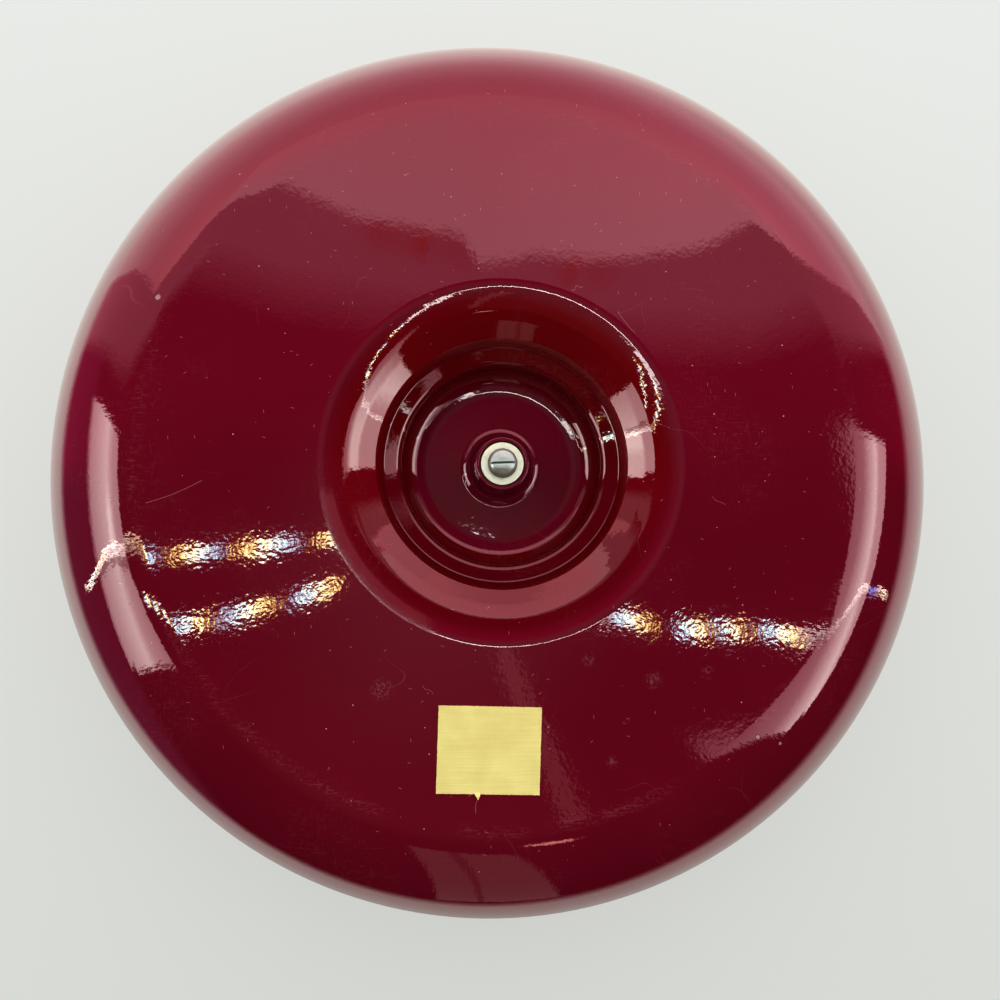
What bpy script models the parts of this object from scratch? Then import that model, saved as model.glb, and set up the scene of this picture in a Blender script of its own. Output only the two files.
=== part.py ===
# Lacquer nut bowl: a moulded bowl with a raised, stepped middle, and a turned post
# for the nutcracker and the picks, held by one screw from below.
# Frame: +Z up, origin at the centre of the ring that the bowl stands on.
import math

import bmesh
import bpy
from mathutils import Matrix, Vector

MM = 0.001                 # the dimensions below are in millimetres
GAP = 0.3                  # clearance between touching pieces

# ---- bowl ----
BOWL_R = 131.5             # largest outer radius
BOWL_H = 76.0              # height of the rim over the standing ring
WALL = 4.6                 # wall thickness
RIM_R = 126.6              # outer radius at the rim
BELLY_Z = 50.0             # height where the wall starts to lean in
SHOULDER_F = 33.5          # radius of the shoulder
UNDER_SLOPE = 2.5          # rise of the underside, degrees
RING_OUT, RING_IN = 52.5, 49.2    # edges of the flat standing ring
FLOOR_Z = 18.0             # depth of the recess
TOP_Z = 22.5               # top of the raised middle, inside
TOP_R = 30.0
BOSS_Z, BOSS_R = 7.0, 7.5  # lower end of the boss
SEAT_Z, SEAT_R = 8.3, 6.5  # seat of the washer
BORE_R = 2.4
BOWL_STEPS = 56

# ---- post ----
POST_FOOT_R = 26.8
POST_WAIST_R = 24.0
POST_TOP_R = 25.6
POST_TOP_Z = 72.0
SOCKET_R, SOCKET_DEPTH = 11.0, 31.0
PICK_COUNT, PICK_RING_R = 6, 17.6
PICK_R, PICK_DEPTH = 4.0, 31.0
INSERT_R, INSERT_LEN, INSERT_BORE_R = 3.5, 10.0, 2.3

# ---- screw and washer ----
SCREW_R, SCREW_LEN = 2.0, 25.0
HEAD_R, HEAD_H = 4.15, 2.5
SLOT_W, SLOT_D, SLOT_TURN = 0.6, 1.1, -2.6
WASHER_R, WASHER_HOLE_R, WASHER_T = 6.0, 2.3, 1.0

# ---- label ----
LABEL_W, LABEL_L, LABEL_T = 28.0, 23.6, 0.25
LABEL_AT, LABEL_TURN = (-4.0, 78.5), 1.5

for old in list(bpy.data.objects):
    bpy.data.objects.remove(old, do_unlink=True)


def collection(name):
    c = bpy.data.collections.new(name)
    bpy.context.scene.collection.children.link(c)
    return c


PARTS = collection("lacquer_nut_bowl")
CUTTERS = collection("cutters")


def material(name, colour, roughness, metallic=0.0):
    m = bpy.data.materials.new(name)
    m.use_nodes = True
    b = m.node_tree.nodes["Principled BSDF"]
    b.inputs["Base Color"].default_value = (*colour, 1.0)
    b.inputs["Roughness"].default_value = roughness
    b.inputs["Metallic"].default_value = metallic
    return m


def rounded(corners, closed=False, step=12.5):
    """Points along a path through corners (r, z, fillet), each corner rounded."""
    n = len(corners)
    pts = []
    for i, (r, z, f) in enumerate(corners):
        p = Vector((r, z))
        end = not closed and i in (0, n - 1)
        if end or f <= 0.0:
            pts.append(p)
            continue
        a = Vector(corners[i - 1][:2]) - p
        b = Vector(corners[(i + 1) % n][:2]) - p
        a.normalize()
        b.normalize()
        turn = math.pi - a.angle(b)
        t = f * math.tan(turn / 2)
        centre = p + (a + b).normalized() * (f / math.cos(turn / 2))
        first = p + a * t - centre
        sign = 1.0 if a.x * b.y - a.y * b.x < 0.0 else -1.0
        k = max(1, math.ceil(math.degrees(turn) / (step if f > 10.0 else 2.4 * step)))
        for j in range(k + 1):
            w = sign * turn * j / k
            c, s = math.cos(w), math.sin(w)
            pts.append(centre + Vector((first.x * c - first.y * s,
                                        first.x * s + first.y * c)))
    return pts


def turned(name, pts, mat, steps, closed, z0=0.0):
    """A shape turned round Z from a profile of (r, z) points in millimetres."""
    me = bpy.data.meshes.new(name)
    verts = [(p[0] * MM, 0.0, p[1] * MM) for p in pts]
    edges = [(i, i + 1) for i in range(len(verts) - 1)]
    if closed:
        edges.append((len(verts) - 1, 0))
    me.from_pydata(verts, edges, [])
    ob = bpy.data.objects.new(name, me)
    PARTS.objects.link(ob)
    ob.location.z = z0 * MM
    ob.data.materials.append(mat)
    sc = ob.modifiers.new("turn", "SCREW")
    sc.axis = "Z"
    sc.angle = math.tau
    sc.steps = sc.render_steps = steps
    sc.use_merge_vertices = True
    sc.merge_threshold = 0.00001
    sc.use_smooth_shade = True
    return ob


def cutter(name, bm):
    me = bpy.data.meshes.new(name)
    bm.to_mesh(me)
    bm.free()
    ob = bpy.data.objects.new(name, me)
    CUTTERS.objects.link(ob)
    ob.hide_render = True
    ob.display_type = "WIRE"
    return ob


def cut(ob, tool):
    mod = ob.modifiers.new("cut_" + tool.name, "BOOLEAN")
    mod.operation = "DIFFERENCE"
    mod.solver = "EXACT"
    mod.object = tool


lacquer = material("lacquer_bowl", (0.105, 0.004, 0.012), 0.12)
lacquer_post = material("lacquer_post", (0.105, 0.004, 0.012), 0.14)
brass = material("brass_insert", (0.62, 0.44, 0.16), 0.35, 1.0)
steel = material("screw_steel", (0.55, 0.55, 0.52), 0.3, 1.0)
zinc = material("washer_plate", (0.66, 0.67, 0.50), 0.35, 1.0)
foil = material("label_foil", (0.74, 0.62, 0.24), 0.4, 0.6)

# ---- bowl: one closed section turned round the axis ----
rise = math.tan(math.radians(UNDER_SLOPE))


def under(r):
    """Height of the underside at a radius, outside the standing ring."""
    return (r - RING_OUT) * rise


section = [
    (RIM_R, BOWL_H, 2.25),                        # rim, outside
    (BOWL_R, BELLY_Z, 100.0),                     # belly
    (BOWL_R, under(BOWL_R), SHOULDER_F),          # shoulder
    (RING_OUT, 0.0, 60.0),                        # standing ring
    (RING_IN, 0.0, 10.0),
    (46.0, 0.59, 35.0),                           # roll into the recess
    (42.9, 1.45, 10.0),
    (39.8, 3.03, 20.0),
    (35.4, 5.62, 0.4),                            # first step
    (33.2, 8.37, 1.0),
    (28.6, 9.43, 2.2),                            # second step
    (27.1, 17.2, 5.0),
    (21.5, FLOOR_Z, 12.0),                        # floor, a little full in the middle
    (8.9, FLOOR_Z - 0.53, 3.2),                   # boss
    (BOSS_R, BOSS_Z, 0.45),
    (SEAT_R, BOSS_Z, 0.3),
    (SEAT_R, SEAT_Z, 0.0),                        # seat of the washer
    (BORE_R, SEAT_Z, 0.0),
    (BORE_R, TOP_Z, 0.0),                         # screw hole
    (TOP_R, TOP_Z, 2.6),                          # raised middle, inside
    (31.4, 13.2, 2.2),
    (39.3, 11.6, 3.2),
    (42.6, 4.75, 5.0),
    (BOWL_R - WALL, under(BOWL_R) + WALL, SHOULDER_F - WALL),
    (BOWL_R - WALL, BELLY_Z, 95.0),
    (RIM_R - 4.7, BOWL_H, 2.25),                  # rim, inside
]
bowl = turned("bowl", rounded(section, closed=True), lacquer, BOWL_STEPS, True)

# ---- post: turned, with the nutcracker socket in its top ----
foot_z = TOP_Z + GAP
socket_z = POST_TOP_Z - SOCKET_DEPTH
nest_r, nest_z = INSERT_R + GAP, foot_z + INSERT_LEN + 1.2
post_section = [
    (0.0, socket_z, 0.0),
    (SOCKET_R, socket_z, 1.5),
    (SOCKET_R, POST_TOP_Z, 1.0),
    (POST_TOP_R, POST_TOP_Z, 2.4),
    (POST_TOP_R, POST_TOP_Z - 9.0, 6.0),
    (POST_WAIST_R, POST_TOP_Z - 20.0, 30.0),
    (POST_WAIST_R, foot_z + 11.0, 14.0),
    (POST_FOOT_R, foot_z + 5.2, 3.0),
    (POST_FOOT_R, foot_z, 0.8),
    (nest_r, foot_z, 0.0),
    (nest_r, nest_z, 0.0),
    (0.0, nest_z, 0.0),
]
post = turned("tool_post", rounded(post_section, step=14.0), lacquer_post, 40, False)
bm = bmesh.new()
for i in range(PICK_COUNT):
    a = math.tau * (i + 0.5) / PICK_COUNT
    at = Matrix.Translation((PICK_RING_R * math.cos(a) * MM, PICK_RING_R * math.sin(a) * MM,
                             (POST_TOP_Z - PICK_DEPTH / 2 + 1.0) * MM))
    bmesh.ops.create_cone(bm, cap_ends=True, segments=16, radius1=PICK_R * MM,
                          radius2=PICK_R * MM, depth=(PICK_DEPTH + 2.0) * MM, matrix=at)
cut(post, cutter("pick_holes", bm))

# ---- threaded bush in the foot of the post ----
turned("post_insert", rounded([
    (INSERT_R, INSERT_LEN, 0.4),
    (INSERT_R, INSERT_LEN * 0.58, 0.0),
    (INSERT_R - 0.5, INSERT_LEN * 0.54, 0.0),
    (INSERT_R - 0.5, INSERT_LEN * 0.46, 0.0),
    (INSERT_R, INSERT_LEN * 0.42, 0.0),
    (INSERT_R, 0.0, 0.3),
    (INSERT_BORE_R, 0.0, 0.0),
    (INSERT_BORE_R, INSERT_LEN, 0.0),
], closed=True, step=30.0), brass, 24, True, z0=foot_z + 0.2)

# ---- washer, level with the lip of the boss ----
turned("screw_washer", rounded([
    (WASHER_R, WASHER_T, 0.12),
    (WASHER_R, 0.0, 0.25),
    (WASHER_HOLE_R, 0.0, 0.0),
    (WASHER_HOLE_R, WASHER_T, 0.0),
], closed=True, step=30.0), zinc, 36, True, z0=BOSS_Z)

# ---- screw: shank up, domed slotted head down ----
shank_r = SCREW_R - 0.1
dome = 7.2                                        # radius of the dome
sag = dome - math.sqrt(dome ** 2 - (HEAD_R - 0.35) ** 2)
head = [(0.0, SCREW_LEN), (shank_r - 0.5, SCREW_LEN), (shank_r, SCREW_LEN - 0.6),
        (shank_r, 0.0), (HEAD_R - 0.12, 0.0), (HEAD_R, -0.15), (HEAD_R, -HEAD_H + sag + 0.3)]
for i in range(7):
    w = math.asin((HEAD_R - 0.35) / dome) * (1 - i / 6)
    head.append((dome * math.sin(w), -HEAD_H + dome * (1 - math.cos(w))))
screw = turned("clamp_screw", head, steel, 28, False, z0=BOSS_Z - GAP)
bm = bmesh.new()
bmesh.ops.create_cube(bm, size=1.0, matrix=(
    Matrix.Translation((0, 0, (BOSS_Z - GAP - HEAD_H) * MM))
    @ Matrix.Rotation(math.radians(SLOT_TURN), 4, "Z")
    @ Matrix.Diagonal((3 * HEAD_R * MM, SLOT_W * MM, 2 * SLOT_D * MM, 1.0))))
cut(screw, cutter("screw_slot", bm))

# ---- label: a thin leaf that follows the underside ----
bm = bmesh.new()
bmesh.ops.create_grid(bm, x_segments=6, y_segments=6, size=0.5)
turn = Matrix.Rotation(math.radians(LABEL_TURN), 2)
for v in bm.verts:
    x, y = turn @ Vector((v.co.x * LABEL_W, v.co.y * LABEL_L))
    x, y = x + LABEL_AT[0], y + LABEL_AT[1]
    v.co = (x * MM, y * MM, (under(math.hypot(x, y)) - GAP) * MM)
bmesh.ops.reverse_faces(bm, faces=bm.faces)       # the face that shows looks down
me = bpy.data.meshes.new("foil_label")
bm.to_mesh(me)
bm.free()
label = bpy.data.objects.new("foil_label", me)
PARTS.objects.link(label)
label.data.materials.append(foil)
leaf = label.modifiers.new("leaf", "SOLIDIFY")
leaf.thickness = LABEL_T * MM
leaf.offset = 1.0

for ob in PARTS.objects:
    if ob.name != "foil_label":
        ob.data.shade_smooth()
        ob.data.set_sharp_from_angle(angle=math.radians(35))
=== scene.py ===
import math

import bmesh
import bpy
import numpy as np
from mathutils import Matrix, Vector


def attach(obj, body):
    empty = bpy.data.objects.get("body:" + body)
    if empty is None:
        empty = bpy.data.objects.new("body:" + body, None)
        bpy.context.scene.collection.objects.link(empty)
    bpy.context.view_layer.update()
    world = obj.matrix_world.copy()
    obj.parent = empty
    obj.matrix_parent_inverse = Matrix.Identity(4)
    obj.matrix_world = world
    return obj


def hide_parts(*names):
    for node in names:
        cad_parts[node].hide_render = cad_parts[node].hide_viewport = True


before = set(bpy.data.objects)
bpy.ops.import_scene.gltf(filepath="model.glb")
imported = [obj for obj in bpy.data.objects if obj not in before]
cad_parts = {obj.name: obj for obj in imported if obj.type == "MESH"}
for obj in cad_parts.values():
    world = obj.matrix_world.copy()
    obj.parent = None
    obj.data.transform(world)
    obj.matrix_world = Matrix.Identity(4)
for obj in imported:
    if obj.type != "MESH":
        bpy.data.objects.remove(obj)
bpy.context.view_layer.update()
scene = bpy.context.scene
MM = 0.001


# ---------------------------------------------------------------- sections
BOWL_R, BOWL_H, RIM_R, BELLY_Z = 131.5, 76.0, 126.6, 50.0
RING_R, RING_Z, UNDER_SLOPE = 49.9, -0.048, math.radians(2.5)


def under(r):
    """Height of the flat underside at radius r, in mm."""
    return RING_Z + (r - RING_R) * math.tan(UNDER_SLOPE)


BOWL_SECTION = [
    (RIM_R, BOWL_H, 2.25),
    (BOWL_R, BELLY_Z, 100.0),
    (BOWL_R, under(BOWL_R), 33.5),
    (RING_R, RING_Z, 12.0),
    (46.0, 0.675, 44.0),
    (42.9, 1.535, 10.0),
    (39.8, 3.115, 20.0),
    (35.4, 5.703, 0.4),
    (33.2, 8.45, 1.0),
    (28.6, 9.683, 2.2),
    (27.1, 17.2, 5.0),
    (21.5, 18.0, 12.0),
    (8.9, 17.56, 3.2),
    (7.5, 7.0, 0.45),
    (6.5, 7.0, 0.3),
    (6.5, 8.3, 0.12),
    (2.4, 8.3, 0.12),
    (2.4, 22.5, 0.12),
    (30.0, 22.5, 2.6),
    (31.4, 13.2, 2.2),
    (39.3, 11.6, 3.2),
    (42.6, 4.75, 5.0),
    (126.9, under(BOWL_R) + 4.6, 28.9),
    (126.9, BELLY_Z, 95.0),
    (RIM_R - 4.7, BOWL_H, 2.25),
]

POST_SECTION = [
    (0.0, 41.0, 0.0),
    (11.0, 41.0, 1.5),
    (11.0, 72.0, 1.0),
    (25.6, 72.0, 2.4),
    (25.6, 63.0, 6.0),
    (24.0, 52.0, 30.0),
    (24.0, 33.8, 14.0),
    (26.8, 28.0, 3.0),
    (26.8, 22.8, 0.8),
    (3.8, 22.8, 0.12),
    (3.8, 34.0, 0.12),
    (0.0, 34.0, 0.0),
]

WASHER_SECTION = [(6.0, 8.0, 0.14), (6.0, 7.0, 0.16), (2.3, 7.0, 0.14), (2.3, 8.0, 0.12)]

SCREW_SECTION = [
    (0.0, 31.7, 0.0),
    (1.7, 31.7, 0.15),
    (2.0, 31.2, 0.15),
    (2.0, 6.7, 0.15),
    (4.15, 6.7, 0.12),
    (4.15, 5.75, 0.35),
    (3.35, 4.62, 1.7),
    (1.5, 4.2, 3.4),
    (0.0, 4.2, 0.0),
]


def dense(corners, closed, arc=4.0, seg=2.4):
    """Points and outward normals (r, z, nr, nz) along a section with rounded corners."""
    n = len(corners)
    c = [Vector((r, z)) for r, z, f in corners]
    runs = []
    for i in range(n):
        if not closed and i in (0, n - 1):
            d = (c[1] - c[0]) if i == 0 else (c[-1] - c[-2])
            runs.append([(c[i], d.normalized())])
            continue
        f = corners[i][2]
        d0, d1 = (c[i] - c[i - 1]).normalized(), (c[(i + 1) % n] - c[i]).normalized()
        turn = math.atan2(d0.x * d1.y - d0.y * d1.x, d0.dot(d1))
        start = c[i] - d0 * (f * math.tan(abs(turn) / 2))
        side = Vector((-d0.y, d0.x)) * math.copysign(f, turn)
        k = max(3, math.ceil(math.degrees(abs(turn)) / arc))
        row = []
        for s in range(k + 1):
            a = turn * s / k
            cs, sn = math.cos(a), math.sin(a)
            arm = -side
            row.append(
                (
                    start + side + Vector((arm.x * cs - arm.y * sn, arm.x * sn + arm.y * cs)),
                    Vector((d0.x * cs - d0.y * sn, d0.x * sn + d0.y * cs)),
                )
            )
        runs.append(row)
    out = []
    for i in range(n):
        out += runs[i]
        if i == n - 1 and not closed:
            break
        a, b = runs[i][-1][0], runs[(i + 1) % n][0][0]
        length = (b - a).length
        if length > 1e-6:
            d = (b - a) / length
            m = math.ceil(length / seg)
            out += [(a + (b - a) * (s / m), d) for s in range(1, m)]
    return [(p.x, p.y, -t.y, t.x) for p, t in out]


def link(ob):
    scene.collection.objects.link(ob)
    return ob


def turned(name, rows, steps, closed):
    """A mesh turned about Z from a dense section, with the section's own normals."""
    verts, normals, rings = [], [], []
    for r, z, nr, nz in rows:
        first = len(verts)
        if r < 1e-5:
            verts.append((0, 0, z * MM))
            normals.append((0, 0, math.copysign(1, nz)))
            rings.append([first] * steps)
            continue
        for j in range(steps):
            a = 2 * math.pi * j / steps
            verts.append((r * MM * math.cos(a), r * MM * math.sin(a), z * MM))
            normals.append((nr * math.cos(a), nr * math.sin(a), nz))
        rings.append(list(range(first, first + steps)))
    faces = []
    count = len(rings)
    for i in range(count if closed else count - 1):
        a, b = rings[i], rings[(i + 1) % count]
        for j in range(steps):
            k = (j + 1) % steps
            loop = [a[j], b[j], b[k], a[k]]
            faces.append(list(dict.fromkeys(loop)))
    me = bpy.data.meshes.new(name)
    me.from_pydata(verts, [], faces)
    me.polygons.foreach_set("use_smooth", [True] * len(me.polygons))
    me.update()
    me.normals_split_custom_set_from_vertices(normals)
    return link(bpy.data.objects.new(name, me))


def settle(ob):
    """Bakes an object's modifiers into its mesh."""
    dg = bpy.context.evaluated_depsgraph_get()
    me = bpy.data.meshes.new_from_object(ob.evaluated_get(dg))
    ob.modifiers.clear()
    old = ob.data
    ob.data = me
    me.name = ob.name
    bpy.data.meshes.remove(old)
    return ob


def cut(ob, cutter):
    m = ob.modifiers.new("cut", "BOOLEAN")
    m.operation, m.solver, m.object = "DIFFERENCE", "EXACT", cutter
    settle(ob)
    me = cutter.data
    bpy.data.objects.remove(cutter)
    bpy.data.meshes.remove(me)


def soften(ob, width, segments=2, limit=40.0):
    """A small bevel on the hard edges, then normals that follow the larger faces."""
    for p in ob.data.polygons:
        p.use_smooth = True
    b = ob.modifiers.new("edge", "BEVEL")
    b.width, b.segments, b.limit_method, b.angle_limit = width, segments, "ANGLE", math.radians(limit)
    b.harden_normals = False
    w = ob.modifiers.new("normals", "WEIGHTED_NORMAL")
    w.keep_sharp, w.weight = True, 60
    settle(ob)


def raw(name, bm):
    me = bpy.data.meshes.new(name)
    bm.to_mesh(me)
    bm.free()
    return link(bpy.data.objects.new(name, me))


# ---------------------------------------------------------------- node graphs
class Graph:
    """Short words for building a node tree."""

    def __init__(self, tree):
        self.t = tree
        tree.nodes.clear()

    def new(self, kind, **attrs):
        n = self.t.nodes.new(kind)
        for k, v in attrs.items():
            setattr(n, k, v)
        return n

    def put(self, socket, v):
        if isinstance(v, bpy.types.NodeSocket):
            self.t.links.new(v, socket)
        else:
            socket.default_value = v

    def math(self, op, *a, clamp=False):
        n = self.new("ShaderNodeMath", operation=op, use_clamp=clamp)
        for s, v in zip(n.inputs, a):
            self.put(s, v)
        return n.outputs[0]

    def vec(self, op, *a):
        n = self.new("ShaderNodeVectorMath", operation=op)
        for s, v in zip(n.inputs, a):
            self.put(s, v)
        return n.outputs["Value" if op in ("DOT_PRODUCT", "LENGTH", "DISTANCE") else "Vector"]

    def scaled(self, v, k):
        n = self.new("ShaderNodeVectorMath", operation="SCALE")
        self.put(n.inputs[0], v)
        n.inputs["Scale"].default_value = k
        return n.outputs["Vector"]

    def ramp(self, v, a, b, lo=0.0, hi=1.0, kind="SMOOTHSTEP"):
        n = self.new("ShaderNodeMapRange", interpolation_type=kind, clamp=True)
        for key, x in (("Value", v), ("From Min", a), ("From Max", b), ("To Min", lo), ("To Max", hi)):
            self.put(n.inputs[key], x)
        return n.outputs["Result"]

    def mix(self, f, a, b, blend="MIX"):
        n = self.new("ShaderNodeMix", data_type="RGBA", blend_type=blend, clamp_factor=True)
        self.put(n.inputs[0], f)
        for s, v in ((n.inputs[6], a), (n.inputs[7], b)):
            self.put(s, v if isinstance(v, bpy.types.NodeSocket) else (*v, 1.0))
        return n.outputs[2]

    def times(self, f, colour):
        """colour x f, for adding lights up."""
        n = self.new("ShaderNodeVectorMath", operation="SCALE")
        self.put(n.inputs[0], colour)
        self.put(n.inputs["Scale"], f)
        return n.outputs["Vector"]

    def add(self, *colours):
        total = colours[0]
        for c in colours[1:]:
            total = self.vec("ADD", total, c)
        return total

    def xyz(self, v):
        n = self.new("ShaderNodeSeparateXYZ")
        self.put(n.inputs[0], v)
        return n.outputs[0], n.outputs[1], n.outputs[2]

    def joined(self, x, y, z):
        n = self.new("ShaderNodeCombineXYZ")
        for s, v in zip(n.inputs, (x, y, z)):
            self.put(s, v)
        return n.outputs[0]

    def noise(self, v, scale, detail=2.0, rough=0.5, distortion=0.0):
        n = self.new("ShaderNodeTexNoise")
        self.put(n.inputs["Vector"], v)
        n.inputs["Scale"].default_value = scale
        n.inputs["Detail"].default_value = detail
        n.inputs["Roughness"].default_value = rough
        n.inputs["Distortion"].default_value = distortion
        return n.outputs["Fac"]

    def cells(self, v, scale, dims="3D"):
        n = self.new("ShaderNodeTexVoronoi", voronoi_dimensions=dims)
        self.put(n.inputs["Vector"], v)
        n.inputs["Scale"].default_value = scale
        return n.outputs["Distance"], n.outputs.get("Color")

    def curve(self, v, points):
        n = self.new("ShaderNodeFloatCurve")
        c = n.mapping.curves[0]
        while len(c.points) < len(points):
            c.points.new(0.5, 0.5)
        for p, (x, y) in zip(c.points, points):
            p.location = (x, y)
            p.handle_type = "VECTOR"
        n.mapping.update()
        self.put(n.inputs["Value"], v)
        return n.outputs[0]


def material(name):
    m = bpy.data.materials.new(name)
    m.use_nodes = True
    return m, Graph(m.node_tree)


def surface(g, shader):
    out = g.new("ShaderNodeOutputMaterial")
    g.t.links.new(shader, out.inputs["Surface"])


def principled(g, **values):
    p = g.new("ShaderNodeBsdfPrincipled")
    for k, v in values.items():
        key = k.replace("_", " ")
        s = p.inputs[key]
        if s.type == "RGBA" and not isinstance(v, bpy.types.NodeSocket):
            v = (*v, 1.0)
        g.put(s, v)
    return p


def bump(g, height, distance=1.0, strength=1.0):
    n = g.new("ShaderNodeBump")
    n.inputs["Strength"].default_value = strength
    n.inputs["Distance"].default_value = distance
    g.put(n.inputs["Height"], height)
    return n.outputs["Normal"]


# ---------------------------------------------------------------- finishes
def lacquer(name, seed, marks=(), fibres=(), dabs=()):
    m, g = material(name)
    co = g.new("ShaderNodeTexCoord").outputs["Object"]
    at = g.vec("ADD", co, (seed, seed * 0.7, seed * 1.3))
    x, y, z = g.xyz(co)
    cloud = g.noise(at, 26.0, 3.0, 0.55)
    clean = g.mix(cloud, (0.190, 0.0022, 0.0050), (0.214, 0.0032, 0.0075))
    # the bluer tone is the lacquer's red with painted sheen: its added blue stands in for the haze of the polish, on
    # the outer underside, the upper faces and the middle of the recess floor
    hazy_tone = g.mix(cloud, (0.180, 0.0040, 0.0215), (0.206, 0.0062, 0.0285))
    out_r = g.math("SQRT", g.math("ADD", g.math("MULTIPLY", x, x), g.math("MULTIPLY", y, y)))
    dished = g.math("MULTIPLY", g.math("LESS_THAN", out_r, 0.0292), g.math("LESS_THAN", z, 0.0196))
    stepped = g.math("MULTIPLY", g.math("LESS_THAN", out_r, 0.0370), g.math("LESS_THAN", z, 0.0112))
    beneath = g.math("MAXIMUM", g.math("MAXIMUM", dished, stepped), g.math("LESS_THAN", z, 0.0048))
    painted_recess_shade = g.math("MULTIPLY", g.math("MAXIMUM", dished, stepped), g.ramp(z, 0.0048, 0.0085))
    floor_middle = g.math("MULTIPLY", g.ramp(out_r, 0.0262, 0.0236), dished)
    colour = g.mix(g.math("MAXIMUM", g.math("MAXIMUM", g.ramp(out_r, 0.043, 0.0505), floor_middle), g.math("SUBTRACT", 1.0, beneath)), clean, hazy_tone)
    # painted shade: the colour is darkened towards near black deeper in the recess, less in the middle of the floor
    colour = g.mix(g.math("MULTIPLY", painted_recess_shade, g.math("MULTIPLY_ADD", floor_middle, -0.10, 0.36)), colour, (0.012, 0.0004, 0.0015))
    # painted shade: the recess and the foot ring are darkened further towards +y
    painted_near_shade = g.math("MULTIPLY", g.math("MULTIPLY", g.ramp(y, -0.01, 0.038), g.ramp(out_r, 0.0490, 0.0450)), g.math("LESS_THAN", z, 0.0112))
    colour = g.mix(g.math("MULTIPLY", painted_near_shade, 0.34), colour, (0.012, 0.0004, 0.0015))
    # handling: faint smudges made of very fine rub marks
    marks_a = g.noise(g.vec("MULTIPLY", at, (300.0, 1900.0, 300.0)), 1.0, 3.0, 0.6)
    marks_b = g.noise(g.vec("MULTIPLY", at, (1700.0, 420.0, 300.0)), 1.0, 3.0, 0.6)
    smudge = g.math("MULTIPLY", g.ramp(g.noise(at, 24.0, 3.0, 0.6), 0.50, 0.68), g.ramp(g.math("MAXIMUM", marks_a, marks_b), 0.54, 0.70))
    colour = g.mix(g.math("MULTIPLY", smudge, 0.10), colour, (0.46, 0.17, 0.20))
    # scuffs where the flat turns up into the shoulder, the part that touches things
    ring = g.ramp(g.math("ABSOLUTE", g.math("SUBTRACT", out_r, 0.1003)), 0.0026, 0.0003)
    ring = g.math("MULTIPLY", ring, g.math("MULTIPLY", g.math("LESS_THAN", z, 0.006), g.ramp(y, -0.03, 0.05, 0.35, 1.0)))
    scuffed = g.math("MULTIPLY", ring, g.ramp(g.math("MAXIMUM", g.noise(at, 900.0, 3.0, 0.65), marks_a), 0.52, 0.66))
    scuffed = g.math("MULTIPLY", scuffed, g.ramp(g.noise(at, 45.0, 2.0), 0.38, 0.58))
    colour = g.mix(g.math("MULTIPLY", scuffed, 0.20), colour, (0.50, 0.20, 0.23))
    # dust: a few pale specks, each in its own cell
    dist, rnd = g.cells(at, 170.0)
    ra, rb, rc = g.xyz(rnd)
    size = g.math("MULTIPLY_ADD", g.math("POWER", rb, 3.0), 0.026, 0.013)
    speck = g.math("MULTIPLY", g.math("LESS_THAN", dist, size), g.math("GREATER_THAN", ra, 0.70))
    # more of it on the flat underside, with short bits of lint lying three ways
    flat_under = g.math("LESS_THAN", z, 0.0042)
    dist, rnd = g.cells(at, 150.0, "2D")
    ra, rb, rc = g.xyz(rnd)
    size = g.math("MULTIPLY_ADD", g.math("POWER", rb, 3.0), 0.024, 0.011)
    more = g.math("MULTIPLY", g.math("LESS_THAN", dist, size), g.math("GREATER_THAN", ra, 0.78))
    speck = g.math("MAXIMUM", speck, g.math("MULTIPLY", more, flat_under))
    lint = None
    for way, shift in ((0.3, 0.0), (1.5, 0.4), (2.5, 0.9)):
        c, k = math.cos(way), math.sin(way)
        along = g.math("ADD", g.math("MULTIPLY", x, c), g.math("MULTIPLY", y, k))
        across = g.math("SUBTRACT", g.math("MULTIPLY", y, c), g.math("MULTIPLY", x, k))
        dist, rnd = g.cells(g.joined(g.math("MULTIPLY_ADD", along, 34.0, shift), g.math("MULTIPLY_ADD", across, 190.0, shift), 0.0), 1.0, "2D")
        one = g.math("MULTIPLY", g.math("LESS_THAN", dist, 0.017), g.math("GREATER_THAN", g.xyz(rnd)[0], 0.78))
        lint = one if lint is None else g.math("MAXIMUM", lint, one)
    lint = g.math("MULTIPLY", lint, flat_under)
    # hair lines: thin contours of a slow noise, broken up by another
    hair_a = g.math("ABSOLUTE", g.math("SUBTRACT", g.noise(at, 21.0, 1.0, 0.4, 0.6), 0.5))
    hair_b = g.math("ABSOLUTE", g.math("SUBTRACT", g.noise(g.vec("ADD", at, (3.1, 1.7, 0.4)), 37.0, 1.0, 0.4, 0.4), 0.47))
    gate = g.ramp(g.noise(at, 60.0, 1.0), 0.56, 0.66)
    hair = g.math("MULTIPLY", g.ramp(g.math("MINIMUM", hair_a, hair_b), 0.0016, 0.0004), gate)
    chip = None
    for px, py, r in marks:
        d = g.vec("DISTANCE", g.joined(x, y, 0.0), (px * MM, py * MM, 0.0))
        wobble = g.math("MULTIPLY_ADD", g.noise(at, 1500.0, 2.0), 0.0005, -0.00025)
        one = g.ramp(g.math("ADD", d, wobble), r * MM * 1.15, r * MM * 0.85)
        one = g.math("MULTIPLY", one, beneath)
        chip = one if chip is None else g.math("MAXIMUM", chip, one)
    strand = None
    for ax, ay, bx, by, sway, waves, wide in fibres:
        length = math.hypot(bx - ax, by - ay)
        dx, dy = (bx - ax) / length, (by - ay) / length
        qx, qy = g.math("SUBTRACT", x, ax * MM), g.math("SUBTRACT", y, ay * MM)
        along = g.math("ADD", g.math("MULTIPLY", qx, dx), g.math("MULTIPLY", qy, dy))
        across = g.math("ADD", g.math("MULTIPLY", qx, -dy), g.math("MULTIPLY", qy, dx))
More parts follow.
